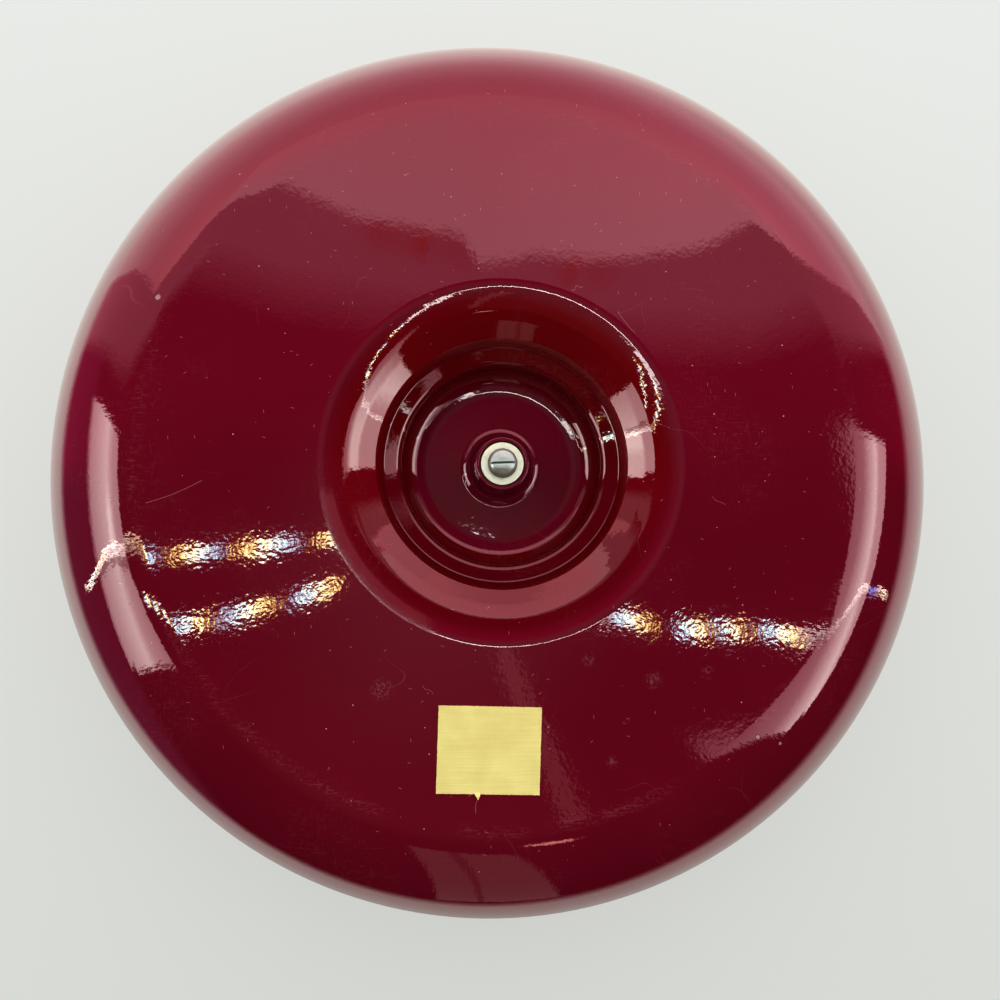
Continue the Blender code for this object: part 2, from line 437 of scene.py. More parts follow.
        bend = g.math("MULTIPLY", g.math("SINE", g.math("MULTIPLY", along, waves * 2 * math.pi / (length * MM))), sway * MM)
        one = g.ramp(g.math("ABSOLUTE", g.math("SUBTRACT", across, bend)), wide * MM, wide * MM * 0.4)
        one = g.math("MULTIPLY", one, g.math("MULTIPLY", g.math("GREATER_THAN", along, 0.0), g.math("LESS_THAN", along, length * MM)))
        one = g.math("MULTIPLY", one, beneath)
        strand = one if strand is None else g.math("MAXIMUM", strand, one)
    colour = g.mix(g.math("MULTIPLY", hair, 0.10), colour, (0.50, 0.22, 0.24))
    for px, py, r in dabs:
        d = g.vec("DISTANCE", g.joined(x, y, 0.0), (px * MM, py * MM, 0.0))
        one = g.math("MULTIPLY", g.ramp(d, r * MM, r * MM * 0.2), g.ramp(g.noise(at, 1100.0, 3.0, 0.65), 0.46, 0.60))
        colour = g.mix(g.math("MULTIPLY", g.math("MULTIPLY", one, beneath), 0.20), colour, (0.52, 0.32, 0.34))
    if strand is not None:
        colour = g.mix(g.math("MULTIPLY", strand, 0.55), colour, (0.46, 0.24, 0.24))
    colour = g.mix(g.math("MULTIPLY", lint, 0.5), colour, (0.52, 0.32, 0.32))
    colour = g.mix(g.math("MULTIPLY", speck, 0.75), colour, (0.62, 0.45, 0.44))
    rough = g.math("MULTIPLY_ADD", g.noise(at, 90.0, 3.0, 0.6), 0.025, 0.020)
    rough = g.math("MULTIPLY_ADD", speck, 0.5, rough)
    rough = g.math("MULTIPLY_ADD", hair, 0.06, rough)
    # the crest of the standing ring is rubbed dull along one stretch
    crest = g.math("MULTIPLY", g.ramp(g.math("ABSOLUTE", g.math("SUBTRACT", out_r, 0.0490)), 0.0026, 0.0012), g.math("LESS_THAN", z, 0.002))
    crest = g.math("MULTIPLY", crest, g.math("MULTIPLY", g.ramp(x, -0.016, -0.023), g.ramp(y, 0.004, 0.012)))
    rough = g.math("MULTIPLY_ADD", crest, 0.30, rough)
    if chip is not None:
        colour = g.mix(g.math("MULTIPLY", chip, 0.8), colour, (0.46, 0.31, 0.31))
        rough = g.math("MULTIPLY_ADD", chip, 0.45, rough)
    rough = g.math("MINIMUM", rough, 0.7)
    # orange peel: long swell, peel and fine grain, heights in metres
    swell = g.math("MULTIPLY", g.noise(at, 60.0, 1.0, 0.4), 2.6e-5)
    peel = g.math("MULTIPLY_ADD", g.noise(at, 400.0, 1.0, 0.45), 1.0e-5, swell)
    grain = g.math("MULTIPLY_ADD", g.noise(at, 900.0, 1.0, 0.5), 8.6e-6, peel)
    height = g.math("MULTIPLY_ADD", speck, 3.0e-5, grain)
    if chip is not None:
        height = g.math("MULTIPLY_ADD", chip, -1.2e-4, height)
    normal = bump(g, height)
    p = principled(g, Base_Color=colour, Roughness=rough, IOR=1.6, Normal=normal)
    surface(g, p.outputs[0])
    return m


def foil():
    m, g = material("foil")
    co = g.new("ShaderNodeTexCoord").outputs["Object"]
    stretch = g.vec("MULTIPLY", co, (60.0, 2600.0, 60.0))
    brush = g.noise(stretch, 1.0, 3.0, 0.6)
    cloud = g.noise(co, 190.0, 3.0, 0.55)
    colour = g.mix(cloud, (0.87, 0.785, 0.32), (0.98, 0.91, 0.43))
    colour = g.mix(g.ramp(g.noise(co, 75.0, 2.0, 0.5), 0.36, 0.66, 0.22, 0.0), colour, (0.66, 0.54, 0.16))
    scuff = g.ramp(g.noise(co, 900.0, 4.0, 0.65), 0.60, 0.72)
    colour = g.mix(g.math("MULTIPLY", scuff, 0.35), colour, (0.97, 0.93, 0.66))
    colour = g.mix(g.ramp(brush, 0.3, 0.75, 0.0, 0.26), colour, (0.72, 0.58, 0.18))
    rough = g.math("MULTIPLY_ADD", cloud, 0.16, 0.30)
    height = g.math("MULTIPLY_ADD", g.noise(co, 160.0, 2.0), 6e-5, g.math("MULTIPLY", brush, 3e-6))
    p = principled(g, Base_Color=colour, Roughness=rough, Metallic=0.08, IOR=1.5, Normal=bump(g, height))
    surface(g, p.outputs[0])
    return m


def paper():
    m, g = material("paper_back")
    co = g.new("ShaderNodeTexCoord").outputs["Object"]
    f = g.noise(co, 2500.0, 3.0)
    colour = g.mix(f, (0.78, 0.76, 0.70), (0.90, 0.88, 0.84))
    p = principled(g, Base_Color=colour, Roughness=0.8, Normal=bump(g, f, 4e-5))
    surface(g, p.outputs[0])
    return m


def plated(name, dark, light, rough, metallic, turning, slot=False):
    m, g = material(name)
    co = g.new("ShaderNodeTexCoord").outputs["Object"]
    x, y, z = g.xyz(co)
    r = g.math("SQRT", g.math("ADD", g.math("MULTIPLY", x, x), g.math("MULTIPLY", y, y)))
    rings = g.noise(g.joined(g.math("MULTIPLY", r, 5200.0), g.math("MULTIPLY", z, 5200.0), 0.0), 1.0, 2.0)
    cloud = g.noise(co, 700.0, 4.0, 0.6)
    colour = g.mix(cloud, dark, light)
    stain = g.ramp(g.noise(co, 420.0, 3.0, 0.6), 0.58, 0.72)
    colour = g.mix(g.math("MULTIPLY", stain, 0.22), colour, (0.30, 0.26, 0.18))
    if slot:
        # painted reflection: the head is painted bright either side of the slot, the edge and the lower side keep the
        # plain colour, and the slot is painted dark as shade
        plain_side_mask = g.math("MAXIMUM", g.ramp(r, 0.0031, 0.0039), g.ramp(g.math("ADD", y, g.math("MULTIPLY_ADD", cloud, 0.0016, -0.0008)), 0.0007, 0.0019))
        colour = g.mix(plain_side_mask, g.mix(cloud, (0.37, 0.50, 0.48), (0.58, 0.74, 0.68)), colour)
        painted_slot_shade = g.math("MULTIPLY", g.ramp(z, 0.0046, 0.0050), g.math("LESS_THAN", r, 0.0032))
        colour = g.mix(g.math("MULTIPLY", painted_slot_shade, 0.85), colour, (0.13, 0.125, 0.10))
    ro = g.math("MULTIPLY_ADD", cloud, 0.18, rough - 0.06)
    height = g.math("MULTIPLY_ADD", rings, turning, g.math("MULTIPLY", g.noise(co, 3200.0, 3.0), 3e-6))
    p = principled(g, Base_Color=colour, Roughness=ro, Metallic=metallic, Normal=bump(g, height))
    surface(g, p.outputs[0])
    return m


MARKS = [(-95.1, -44.8, 0.75), (70.3, 75.8, 0.6), (77.0, 77.8, 0.4)]
FIBRES = [
    (18.8, -48.2, 21.8, -49.4, 0.45, 1.4, 0.15),
    (32.1, -41.8, 36.5, -36.1, 0.15, 0.6, 0.12),
    (-96.8, 12.0, -81.8, 5.8, 0.5, 0.5, 0.14),
    (58.0, 9.5, 61.5, 12.0, 0.3, 0.8, 0.10),
    (-22.0, 61.0, -19.2, 63.4, 0.3, 1.0, 0.10),
    (-7.0, 91.4, -7.7, 95.4, 0.25, 0.6, 0.12),
]
DABS = [(23.1, 54.2, 2.6), (29.5, 82.2, 2.2), (33.3, 71.3, 1.3), (41.0, 60.0, 3.4), (-33.0, 62.0, 4.0), (56.0, 58.0, 2.4)]
lacquer_bowl = lacquer("lacquer_bowl", 0.0, MARKS, FIBRES, DABS)
lacquer_post = lacquer("lacquer_post", 2.3)
foil_mat, paper_mat = foil(), paper()
steel_mat = plated("nickel_plate", (0.17, 0.175, 0.145), (0.33, 0.335, 0.29), 0.36, 0.25, 5e-6, True)
washer_mat = plated("zinc_plate", (0.74, 0.86, 0.72), (0.97, 0.98, 0.78), 0.42, 0.12, 3e-6)
brass_mat = plated("brass", (0.60, 0.42, 0.15), (0.78, 0.58, 0.24), 0.28, 1.0, 6e-6)


def dress(ob, *mats):
    ob.data.materials.clear()
    for m in mats:
        ob.data.materials.append(m)


# ---------------------------------------------------------------- pieces
bowl = turned("bowl_shell", dense(BOWL_SECTION, True, 3.5, 2.4), 176, True)
dress(bowl, lacquer_bowl)
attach(bowl, "root")
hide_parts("bowl")

post = turned("post_turned", dense(POST_SECTION, False, 6.0, 3.0), 96, False)
bm = bmesh.new()
for i in range(6):
    a = math.radians(60 * (i + 0.5))
    at = Matrix.Translation((17.6 * MM * math.cos(a), 17.6 * MM * math.sin(a), 57.0 * MM))
    bmesh.ops.create_cone(
        bm, cap_ends=True, segments=40, radius1=4.0 * MM, radius2=4.0 * MM, depth=32.0 * MM, matrix=at
    )
cut(post, raw("pick_cut", bm))
soften(post, 0.35 * MM, 3, 50)
dress(post, lacquer_post)
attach(post, "root")
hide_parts("tool_post")

screw = turned("screw_detail", dense(SCREW_SECTION, False, 5.0, 1.2), 72, False)
bm = bmesh.new()
bmesh.ops.create_cube(
    bm,
    size=1.0,
    matrix=Matrix.Rotation(math.radians(-2.6), 4, "Z")
    @ Matrix.Translation((0, 0, 4.3 * MM))
    @ Matrix.Diagonal((12 * MM, 0.6 * MM, 2.0 * MM, 1)),
)
cut(screw, raw("slot_cut", bm))
soften(screw, 0.07 * MM, 2, 50)
dress(screw, steel_mat)
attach(screw, "root")
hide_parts("clamp_screw")

washer = turned("washer_detail", dense(WASHER_SECTION, True, 15.0, 1.0), 96, True)
dress(washer, washer_mat)
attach(washer, "root")
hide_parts("screw_washer")

dress(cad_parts["post_insert"], brass_mat)


def label():
    """The foil leaf, laid on the underside, with a nicked and lifted scrap at its outer edge."""
    w, h, nx, ny = 28.0, 23.6, 70, 60
    cx, cy, turn = -4.0, 78.5, math.radians(1.5)
    thick, gap = 0.13, 0.04
    rng = np.random.default_rng(7)
    wave_x, wave_y = rng.normal(0, 0.035, nx + 1), rng.normal(0, 0.035, ny + 1)
    bm = bmesh.new()
    grid = {}

    def place(u, v, lift):
        x = cx + u * math.cos(turn) - v * math.sin(turn)
        y = cy + u * math.sin(turn) + v * math.cos(turn)
        z = under(math.hypot(x, y)) - gap - lift
        return (x * MM, y * MM, z * MM)

    def lift_at(u, v):
        e = max(abs(u) / (w / 2), abs(v) / (h / 2))
        corner = max(0.0, (abs(u) / (w / 2) + abs(v) / (h / 2)) - 1.86) * 1.3
        ripple = 0.012 * math.sin(u * 0.9 + 0.6 * v) + 0.010 * math.sin(v * 1.3 - 0.4 * u)
        return 0.03 + ripple * (1 - 0.5 * e) + corner

    for side in (0, 1):
        for i in range(nx + 1):
            for j in range(ny + 1):
                u, v = (i / nx - 0.5) * w, (j / ny - 0.5) * h
                if j in (0, ny):
                    v += wave_x[i]
                if i in (0, nx):
                    u += wave_y[j]
                nick = math.exp(-(((u + 2.9) / 0.55) ** 2)) * (0.55 if j == ny else 0.0)
                v -= nick
                grid[side, i, j] = bm.verts.new(place(u, v, lift_at(u, v) + thick * side))
    for i in range(nx):
        for j in range(ny):
            a = [grid[0, i, j], grid[0, i + 1, j], grid[0, i + 1, j + 1], grid[0, i, j + 1]]
            b = [grid[1, i, j], grid[1, i, j + 1], grid[1, i + 1, j + 1], grid[1, i + 1, j]]
            bm.faces.new(a)
            bm.faces.new(b)
    rim = [(i, 0) for i in range(nx)] + [(nx, j) for j in range(ny)]
    rim += [(i, ny) for i in range(nx, 0, -1)] + [(0, j) for j in range(ny, 0, -1)]
    for (i, j), (k, l) in zip(rim, rim[1:] + rim[:1]):
        f = bm.faces.new([grid[0, i, j], grid[1, i, j], grid[1, k, l], grid[0, k, l]])
        f.material_index = 1
    # the torn scrap: a small curled tongue of the paper back, just past the nick
    tongue = []
    for t in range(7):
        s = t / 6
        half = 0.85 * (1 - 0.78 * s) + 0.14 * math.sin(5 * s)
        v = h / 2 - 0.75 + 2.15 * s
        rise = 0.24 + 0.45 * math.sin(s * 2.2)
        row = []
        for q, k in enumerate((-1, 0, 1)):
            row.append([bm.verts.new(place(-2.9 + k * half + 0.3 * s, v, rise + 0.10 * abs(k) + 0.06 * b)) for b in (0, 1)])
        tongue.append(row)
    for t in range(6):
        for q in (0, 1):
            for b in (0, 1):
                loop = [tongue[t][q][b], tongue[t][q + 1][b], tongue[t + 1][q + 1][b], tongue[t + 1][q][b]]
                f = bm.faces.new(loop if b == 0 else loop[::-1])
                f.material_index = 1
        for q in (0, 2):
            loop = [tongue[t][q][0], tongue[t + 1][q][0], tongue[t + 1][q][1], tongue[t][q][1]]
            f = bm.faces.new(loop if q == 0 else loop[::-1])
            f.material_index = 1
    for t in (0, 6):
        for q in (0, 1):
            loop = [tongue[t][q][0], tongue[t][q][1], tongue[t][q + 1][1], tongue[t][q + 1][0]]
            f = bm.faces.new(loop if t == 0 else loop[::-1])
            f.material_index = 1
    bmesh.ops.recalc_face_normals(bm, faces=bm.faces[:])
    ob = raw("label_leaf", bm)
    for p in ob.data.polygons:
        p.use_smooth = True
    ob.data.set_sharp_from_angle(angle=math.radians(40))
    dress(ob, foil_mat, paper_mat)
    return ob


leaf = label()
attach(leaf, "root")
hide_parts("foil_label")


# ---------------------------------------------------------------- stage
def plane(name, z, size, down):
    me = bpy.data.meshes.new(name)
    s = size / 2
    ring = [(-s, -s, z), (s, -s, z), (s, s, z), (-s, s, z)]
    me.from_pydata(ring, [], [[3, 2, 1, 0] if down else [0, 1, 2, 3]])
    me.update()
    ob = link(bpy.data.objects.new(name, me))
    ob.visible_glossy = ob.visible_diffuse = ob.visible_transmission = ob.visible_shadow = False
    return ob


def one_sided(name, colour, far=None, steep=None, glow=None):
    m, g = material(name)
    geo = g.new("ShaderNodeNewGeometry")
    co = g.new("ShaderNodeTexCoord").outputs["Object"]
    tone = g.mix(g.noise(co, 3.0, 2.0), tuple(c * 0.985 for c in colour), colour)
    d = g.new("ShaderNodeBsdfDiffuse")
    g.put(d.inputs["Color"], tone)
    # glow: painted light added to the diffuse, blended between two tones along y
    if glow:
        e = g.new("ShaderNodeEmission")
        g.put(e.inputs["Color"], g.mix(g.ramp(g.xyz(co)[1], -0.17, 0.17, 0.0, 1.0, "LINEAR"), *glow))
        both = g.new("ShaderNodeAddShader")
        g.put(both.inputs[0], d.outputs[0])
        g.put(both.inputs[1], e.outputs[0])
        d = both
    clear = g.new("ShaderNodeBsdfTransparent")
    gone = geo.outputs["Backfacing"]
    if far:
        x, y, z = g.xyz(co)
        r = g.math("SQRT", g.math("ADD", g.math("MULTIPLY", x, x), g.math("MULTIPLY", y, y)))
        gone = g.math("MAXIMUM", gone, g.ramp(r, far[0], far[1]))
    if steep:
        lw = g.new("ShaderNodeLayerWeight")
        lw.inputs["Blend"].default_value = 0.5
        gone = g.math("MAXIMUM", gone, g.math("GREATER_THAN", lw.outputs["Facing"], steep))
    s = g.new("ShaderNodeMixShader")
    g.put(s.inputs[0], gone)
    g.put(s.inputs[1], d.outputs[0])
    g.put(s.inputs[2], clear.outputs[0])
    surface(g, s.outputs[0])
    return m


floor = plane("floor", -0.0004, 6.0, False)
dress(floor, one_sided("floor_pale", (0.80, 0.80, 0.785), far=(0.55, 1.7)))


def only_mirrored(name, rings, finish):
    """A round sheet through rings of (radius, height) in mm that shows only in the polish."""
    steps = 96
    verts = [(r * MM * math.cos(2 * math.pi * i / steps), r * MM * math.sin(2 * math.pi * i / steps), z * MM) for r, z in rings for i in range(steps)]
    faces = []
    for k in range(len(rings) - 1):
        a, b = k * steps, (k + 1) * steps
        faces += [[a + i, b + i, b + (i + 1) % steps, a + (i + 1) % steps] for i in range(steps)]
    me = bpy.data.meshes.new(name)
    me.from_pydata(verts, [], faces)
    me.update()
    ob = link(bpy.data.objects.new(name, me))
    ob.visible_camera = ob.visible_diffuse = ob.visible_transmission = ob.visible_shadow = False
    dress(ob, finish)
    finish.cycles.emission_sampling = "NONE"


# the floor as the outside mirrors it, beside the shoulder and shaded below it
only_mirrored("floor_beside", [(120.6, 10.5), (250.0, 10.5), (1800.0, 10.5)], one_sided("floor_mirrored", (0.80, 0.80, 0.785), far=(0.55, 1.7)))
only_mirrored("floor_below", [(97.0, -0.6), (97.0, -200.0)], one_sided("floor_shade", (0.02, 0.02, 0.02), glow=((0.30, 0.25, 0.24), (0.30, 0.25, 0.24))))
# the backdrop glows as painted light, dimmer towards +y as painted shade
table = plane("backdrop", 0.0763, 4.0, True)
dress(table, one_sided("backdrop_pale", (0.20, 0.205, 0.20), steep=0.42, glow=((0.660, 0.671, 0.655), (0.565, 0.577, 0.558))))


# ---------------------------------------------------------------- light
world = bpy.data.worlds.new("studio")
scene.world = world
world.use_nodes = True
world.cycles.sampling_method = "NONE"
g = Graph(world.node_tree)
d = g.vec("NORMALIZE", g.new("ShaderNodeTexCoord").outputs["Generated"])
x, y, z = g.xyz(d)
zen = g.math("DEGREES", g.math("ARCCOSINE", g.math("MULTIPLY", z, -0.99999)))
flat = g.math("MAXIMUM", g.math("SQRT", g.math("ADD", g.math("MULTIPLY", x, x), g.math("MULTIPLY", y, y))), 1e-4)
u = g.math("MULTIPLY", zen, g.math("DIVIDE", x, flat))
v = g.math("MULTIPLY", zen, g.math("DIVIDE", y, g.math("MULTIPLY", flat, -1.0)))


def patch(corners, soft=0.8):
    """A soft-edged panel of light; corners run anticlockwise, in degrees from straight down."""
    total = None
    for (ax, ay), (bx, by) in zip(corners, corners[1:] + corners[:1]):
        length = math.hypot(bx - ax, by - ay)
        nx, ny = -(by - ay) / length, (bx - ax) / length
        away = g.math("MULTIPLY_ADD", u, nx, g.math("MULTIPLY_ADD", v, ny, -(ax * nx + ay * ny)))
        one = g.ramp(away, -soft, soft)
        total = one if total is None else g.math("MULTIPLY", total, one)
    return total


def edge(points):
    """A boundary line v(u) through points in degrees."""
    at = g.math("MULTIPLY_ADD", u, 1 / 240.0, 0.5)
    c = g.curve(at, [((a + 120) / 240.0, (b + 50) / 150.0) for a, b in points])
    return g.math("MULTIPLY_ADD", c, 150.0, -50.0)


def stops(value, points):
    """A colour along a value from 0 to 1."""
    n = g.new("ShaderNodeValToRGB")
    e = n.color_ramp.elements
    while len(e) < len(points):
        e.new(0.5)
    for el, (at, c) in zip(e, points):
        el.position = at
        el.color = (*c, 1.0)
    g.put(n.inputs["Fac"], value)
    return n.outputs["Color"]


east, south = g.math("DIVIDE", x, flat), g.math("DIVIDE", y, flat)

# a broad pale wall on one side, with a dimmer band before it; its near end is the card below
wall_edge = edge([(-120, 66), (-88, 56), (-68, 47), (-50, 35), (-40, 28), (-31, 31), (-26, 38),
                  (23, 38), (29, 25), (32, 26.5), (45, 31), (57, 35), (67, 38), (80, 37), (120, 30)])
dim_edge = edge([(-120, 50), (-96, 42), (-74, 32), (-52, 22), (-40, 18.5), (-26, 20), (21, 15.5),
                 (44, 21.5), (62, 27.5), (80, 33), (120, 33)])
wall = g.ramp(g.math("SUBTRACT", v, wall_edge), -1.0, 1.2)
dim = g.math("MULTIPLY", g.ramp(g.math("SUBTRACT", v, dim_edge), -4.5, 2.0), g.ramp(g.math("ABSOLUTE", u), 23.0, 27.0))
wall_tone = stops(g.math("DIVIDE", zen, 180.0), [
    (25 / 180, (0.76, 0.44, 0.49)), (40 / 180, (0.88, 0.36, 0.405)), (53 / 180, (0.72, 0.285, 0.335)),
    (66 / 180, (0.61, 0.275, 0.325)), (80 / 180, (0.57, 0.33, 0.365)), (96 / 180, (0.54, 0.40, 0.41)),
])
wall_tone = g.vec("MULTIPLY", wall_tone, g.mix(g.ramp(east, 0.05, 0.75), (1, 1, 1), (1.23, 1.34, 1.36)))
wall_tone = g.vec("MULTIPLY", wall_tone, g.mix(g.ramp(east, -0.05, -0.75), (1, 1, 1), (1.06, 1.10, 1.06)))
clear_of_wall = g.math("SUBTRACT", 1.0, g.math("MAXIMUM", wall, dim))
glow = g.math("MULTIPLY", g.ramp(v, 2.0, 13.0), clear_of_wall)
violet = g.math("MULTIPLY", g.ramp(u, -64.0, -76.0), clear_of_wall)
haze = g.ramp(g.math("SQRT", g.math("ADD", g.math("POWER", g.math("MULTIPLY_ADD", u, 0.8, 4.8), 2.0), g.math("POWER", g.math("ADD", v, 20.0), 2.0))), 16.0, 8.0)

# two windows, each brightest along a bar
line = edge([(-120, -28), (-96, -21), (-86, -18.2), (-78, -15.2), (-70, -11.8), (-62, -8.4), (-50, -5.2), (-42, -4.2), (-36, -2.4),
             (-28, -0.8), (-18, 0.2), (-8, 0.3), (0, -2), (10, -5.3), (16, -5.8), (21, -4.9), (25, -5.4), (32, -8.7), (38, -10.3),
             (45, -10.2), (50, -9.3), (56, -10.2), (64, -13), (74, -14.8), (84, -17.7), (96, -20.5), (120, -26)])
off = g.math("SUBTRACT", v, line)
left = g.math("MAXIMUM", patch([(-76, 21.5), (-70.5, -34.5), (-38, -12), (-38.5, 9)], 0.6),
              patch([(-55, -8), (-66, -33.3), (-31, -15.5), (-37.5, -6.5)], 0.6))
left = g.math("MULTIPLY", left, g.ramp(u, -75.0, -67.5))
left = g.math("MULTIPLY", left, g.ramp(g.math("ABSOLUTE", g.math("ADD", off, 1.9)), 0.4, 1.0, 0.5, 1.0))
left_tone = stops(g.math("MULTIPLY_ADD", u, 0.02, 1.5), [((a + 75) / 50, c) for a, c in (
    (-72, (0.45, 0.33, 0.35)), (-61, (0.65, 0.55, 0.55)), (-50, (0.9, 0.8, 0.78)), (-44, (0.63, 0.51, 0.51)), (-31, (0.47, 0.33, 0.35)))])
flare = g.ramp(g.math("SQRT", g.math("ADD", g.math("POWER", g.math("ADD", u, 49.3), 2.0), g.math("POWER", g.math("MULTIPLY_ADD", v, 0.6, 1.5), 2.0))), 4.5, 1.0)
right = g.math("MAXIMUM", patch([(26, 9), (28, -1), (33.5, -9), (50, -31), (60, -9), (63, 10.5)], 0.7),
               patch([(30, -8.2), (16.2, -12.0), (17.5, -13.6), (46, -32.4), (54, -20)], 0.7))
right_tone = stops(g.math("MULTIPLY_ADD", u, 0.02, -0.3), [((a - 15) / 50, c) for a, c in (
    (17, (0.22, 0.13, 0.15)), (36, (0.4, 0.28, 0.3)), (50, (0.97, 0.85, 0.83)), (54, (0.66, 0.5, 0.51)), (64, (0.56, 0.41, 0.43)))])
bar = g.math("ABSOLUTE", g.math("ADD", u, g.math("MULTIPLY_ADD", v, 0.062, 4.84)))
column = g.math("MULTIPLY", patch([(-8.1, -42.7), (-10, -106), (22, -102), (5.6, -43.5)], 0.8), g.ramp(bar, 0.4, 1.2, 0.45, 1.0))
streak = patch([(2.9, -7.6), (8.2, -17.4), (9.9, -17.4), (4.3, -7.6)], 0.4)
low = g.ramp(zen, 16.0, 5.0)
spot = g.ramp(g.math("SQRT", g.math("ADD", g.math("POWER", g.math("MULTIPLY_ADD", u, 0.5, -4.75), 2.0), g.math("POWER", g.math("ADD", v, 35.0), 2.0))), 1.9, 0.7)

# a chain of small lamps from side to side, and a second one on the left
PRISM = [(0.0, (0.14, 0.18, 0.26)), (0.16, (0.34, 0.48, 0.60)), (0.34, (0.60, 0.94, 0.95)), (0.52, (0.94, 1.0, 0.86)),
         (0.70, (0.96, 0.92, 0.46)), (0.86, (0.70, 0.52, 0.18)), (1.0, (0.24, 0.14, 0.04))]
STRIP = [
    (-96, (0, 0, 0)), (-90, (0.85, 0.85, 0.75)), (-79, (0.85, 1.0, 0.9)), (-66, (0.95, 0.9, 0.6)), (-54, (0.55, 0.55, 0.5)),
    (-40, (0.35, 0.35, 0.3)), (-22, (0.5, 0.4, 0.25)), (-20, (0, 0, 0)), (22.4, (0, 0, 0)), (24, (0.4, 0.4, 0.4)),
    (36, (0.2, 0.2, 0.2)), (57, (0.45, 0.45, 0.4)), (62, (0.15, 0.25, 0.6)), (67, (0.15, 0.25, 0.55)), (73, (0.5, 0.4, 0.35)),
    (80, (0.9, 0.85, 0.65)), (88, (0, 0, 0)),
]


def lamps(beads):
    total = None
    for a, b, flip in beads:
        phase = g.ramp(u, b, a, 0.0, 1.0, "LINEAR") if flip else g.ramp(u, a, b, 0.0, 1.0, "LINEAR")
        mask = g.math("MULTIPLY", g.ramp(u, a - 0.25, a + 0.3), g.ramp(u, b + 0.25, b - 0.3))
        one = g.times(mask, stops(phase, PRISM))
        total = one if total is None else g.vec("ADD", total, one)
    return total


core = g.ramp(g.math("ABSOLUTE", off), 0.60, 0.18)
twin = g.math("MAXIMUM", g.ramp(g.math("ABSOLUTE", g.math("SUBTRACT", off, 0.32)), 0.46, 0.14),
              g.math("MULTIPLY", g.ramp(g.math("ABSOLUTE", g.math("ADD", off, 0.62)), 0.32, 0.10), 0.7))
near = lamps([(-21.6, -18.2, True), (-17.8, -14.9, True), (-14.5, -11.1, True), (-10.5, -7.2, True),
              (12.2, 15.3, False), (16.3, 18.6, False), (18.7, 20.6, False), (20.9, 23.6, False)])
wide = g.ramp(u, 1.5, 6.5, 1.35, 0.80)
middle = g.math("MULTIPLY", g.ramp(g.math("ABSOLUTE", off), wide, g.math("MULTIPLY", wide, 0.4)), g.math("MULTIPLY", g.math("MULTIPLY", g.ramp(u, -8.0, 1.0, 0.55, 1.0), g.ramp(u, 4.0, 8.0, 1.0, 0.75)), g.math("MULTIPLY", g.ramp(u, -8.5, -7.5), g.ramp(u, 13.0, 11.0))))
strip = stops(g.math("MULTIPLY_ADD", u, 1 / 190, 100 / 190), [((a + 100) / 190, c) for a, c in STRIP])
line2 = edge([(-120, -30), (-33, -7.9), (-30, -6.9), (-26, -6.3), (-22, -4.9), (-18, -4.4), (-14, -4.0), (-8, -2.9), (120, -2)])
core2 = g.ramp(g.math("ABSOLUTE", g.math("SUBTRACT", v, line2)), 0.60, 0.18)
near2 = lamps([(-33, -27.5, False), (-27, -22.6, False), (-22.2, -17.7, False), (-17.4, -15.2, False), (-15.0, -11.7, False), (-11.2, -8.4, False)])
chain = g.add(g.times(core, near), g.times(twin, strip), g.times(middle, (0.8, 0.8, 0.78)), g.times(core2, near2))

# beyond the level of the table all is pale, most of it low down
far = g.math("ADD", g.math("MULTIPLY_ADD", x, -9.5, 97.0), g.math("MULTIPLY", y, 7.5))
table_glow = g.ramp(zen, far, g.math("ADD", far, 14.0))
level = g.ramp(zen, 110.0, 157.0, 2.15, 0.67, "LINEAR")
turn_fac = g.math("ADD", g.math("MULTIPLY_ADD", east, -0.08, 0.92), g.math("MULTIPLY", south, -0.2))

below = g.add(
    g.times(g.math("MULTIPLY", wall, 5.0), wall_tone),
    g.times(g.math("MULTIPLY", dim, g.math("SUBTRACT", 1.0, wall)), (1.8, 0.78, 0.98)),
    g.times(g.math("MULTIPLY", left, 10.0), left_tone),
    g.times(flare, (2.6, 2.6, 2.4)),
    g.times(g.math("MULTIPLY", right, 10.0), right_tone),
    g.times(glow, (0.62, 0.0, 0.10)),
    g.times(violet, (0.30, 0.12, 0.24)),
    g.times(haze, (0.22, 0.06, 0.05)),
    g.times(streak, (0.95, 0.50, 0.50)),
    g.times(column, (0.72, 0.52, 0.50)),
    g.times(low, (0.30, 0.28, 0.28)),
    g.times(spot, (8.0, 4.2, 3.4)),
    g.times(25.0, chain),
)
above = g.times(g.math("MULTIPLY", level, turn_fac), g.mix(g.ramp(zen, 98.0, 122.0), (1.14, 0.95, 0.94), (1.0, 1.03, 0.96)))
mirror = g.mix(table_glow, below, above)

bias = g.math("MAXIMUM", g.math("MULTIPLY_ADD", y, -0.65, 1.0), 0.2)
soft = g.mix(g.ramp(z, -0.05, 0.35), g.times(bias, (1.0, 1.0, 0.985)), (0.86, 0.86, 0.85))

path = g.new("ShaderNodeLightPath")
seen = g.mix(path.outputs["Is Glossy Ray"], soft, mirror)
seen = g.mix(path.outputs["Is Camera Ray"], seen, (0.83, 0.835, 0.82))
back = g.new("ShaderNodeBackground")
g.put(back.inputs["Color"], seen)
out = g.new("ShaderNodeOutputWorld")
g.t.links.new(back.outputs[0], out.inputs["Surface"])


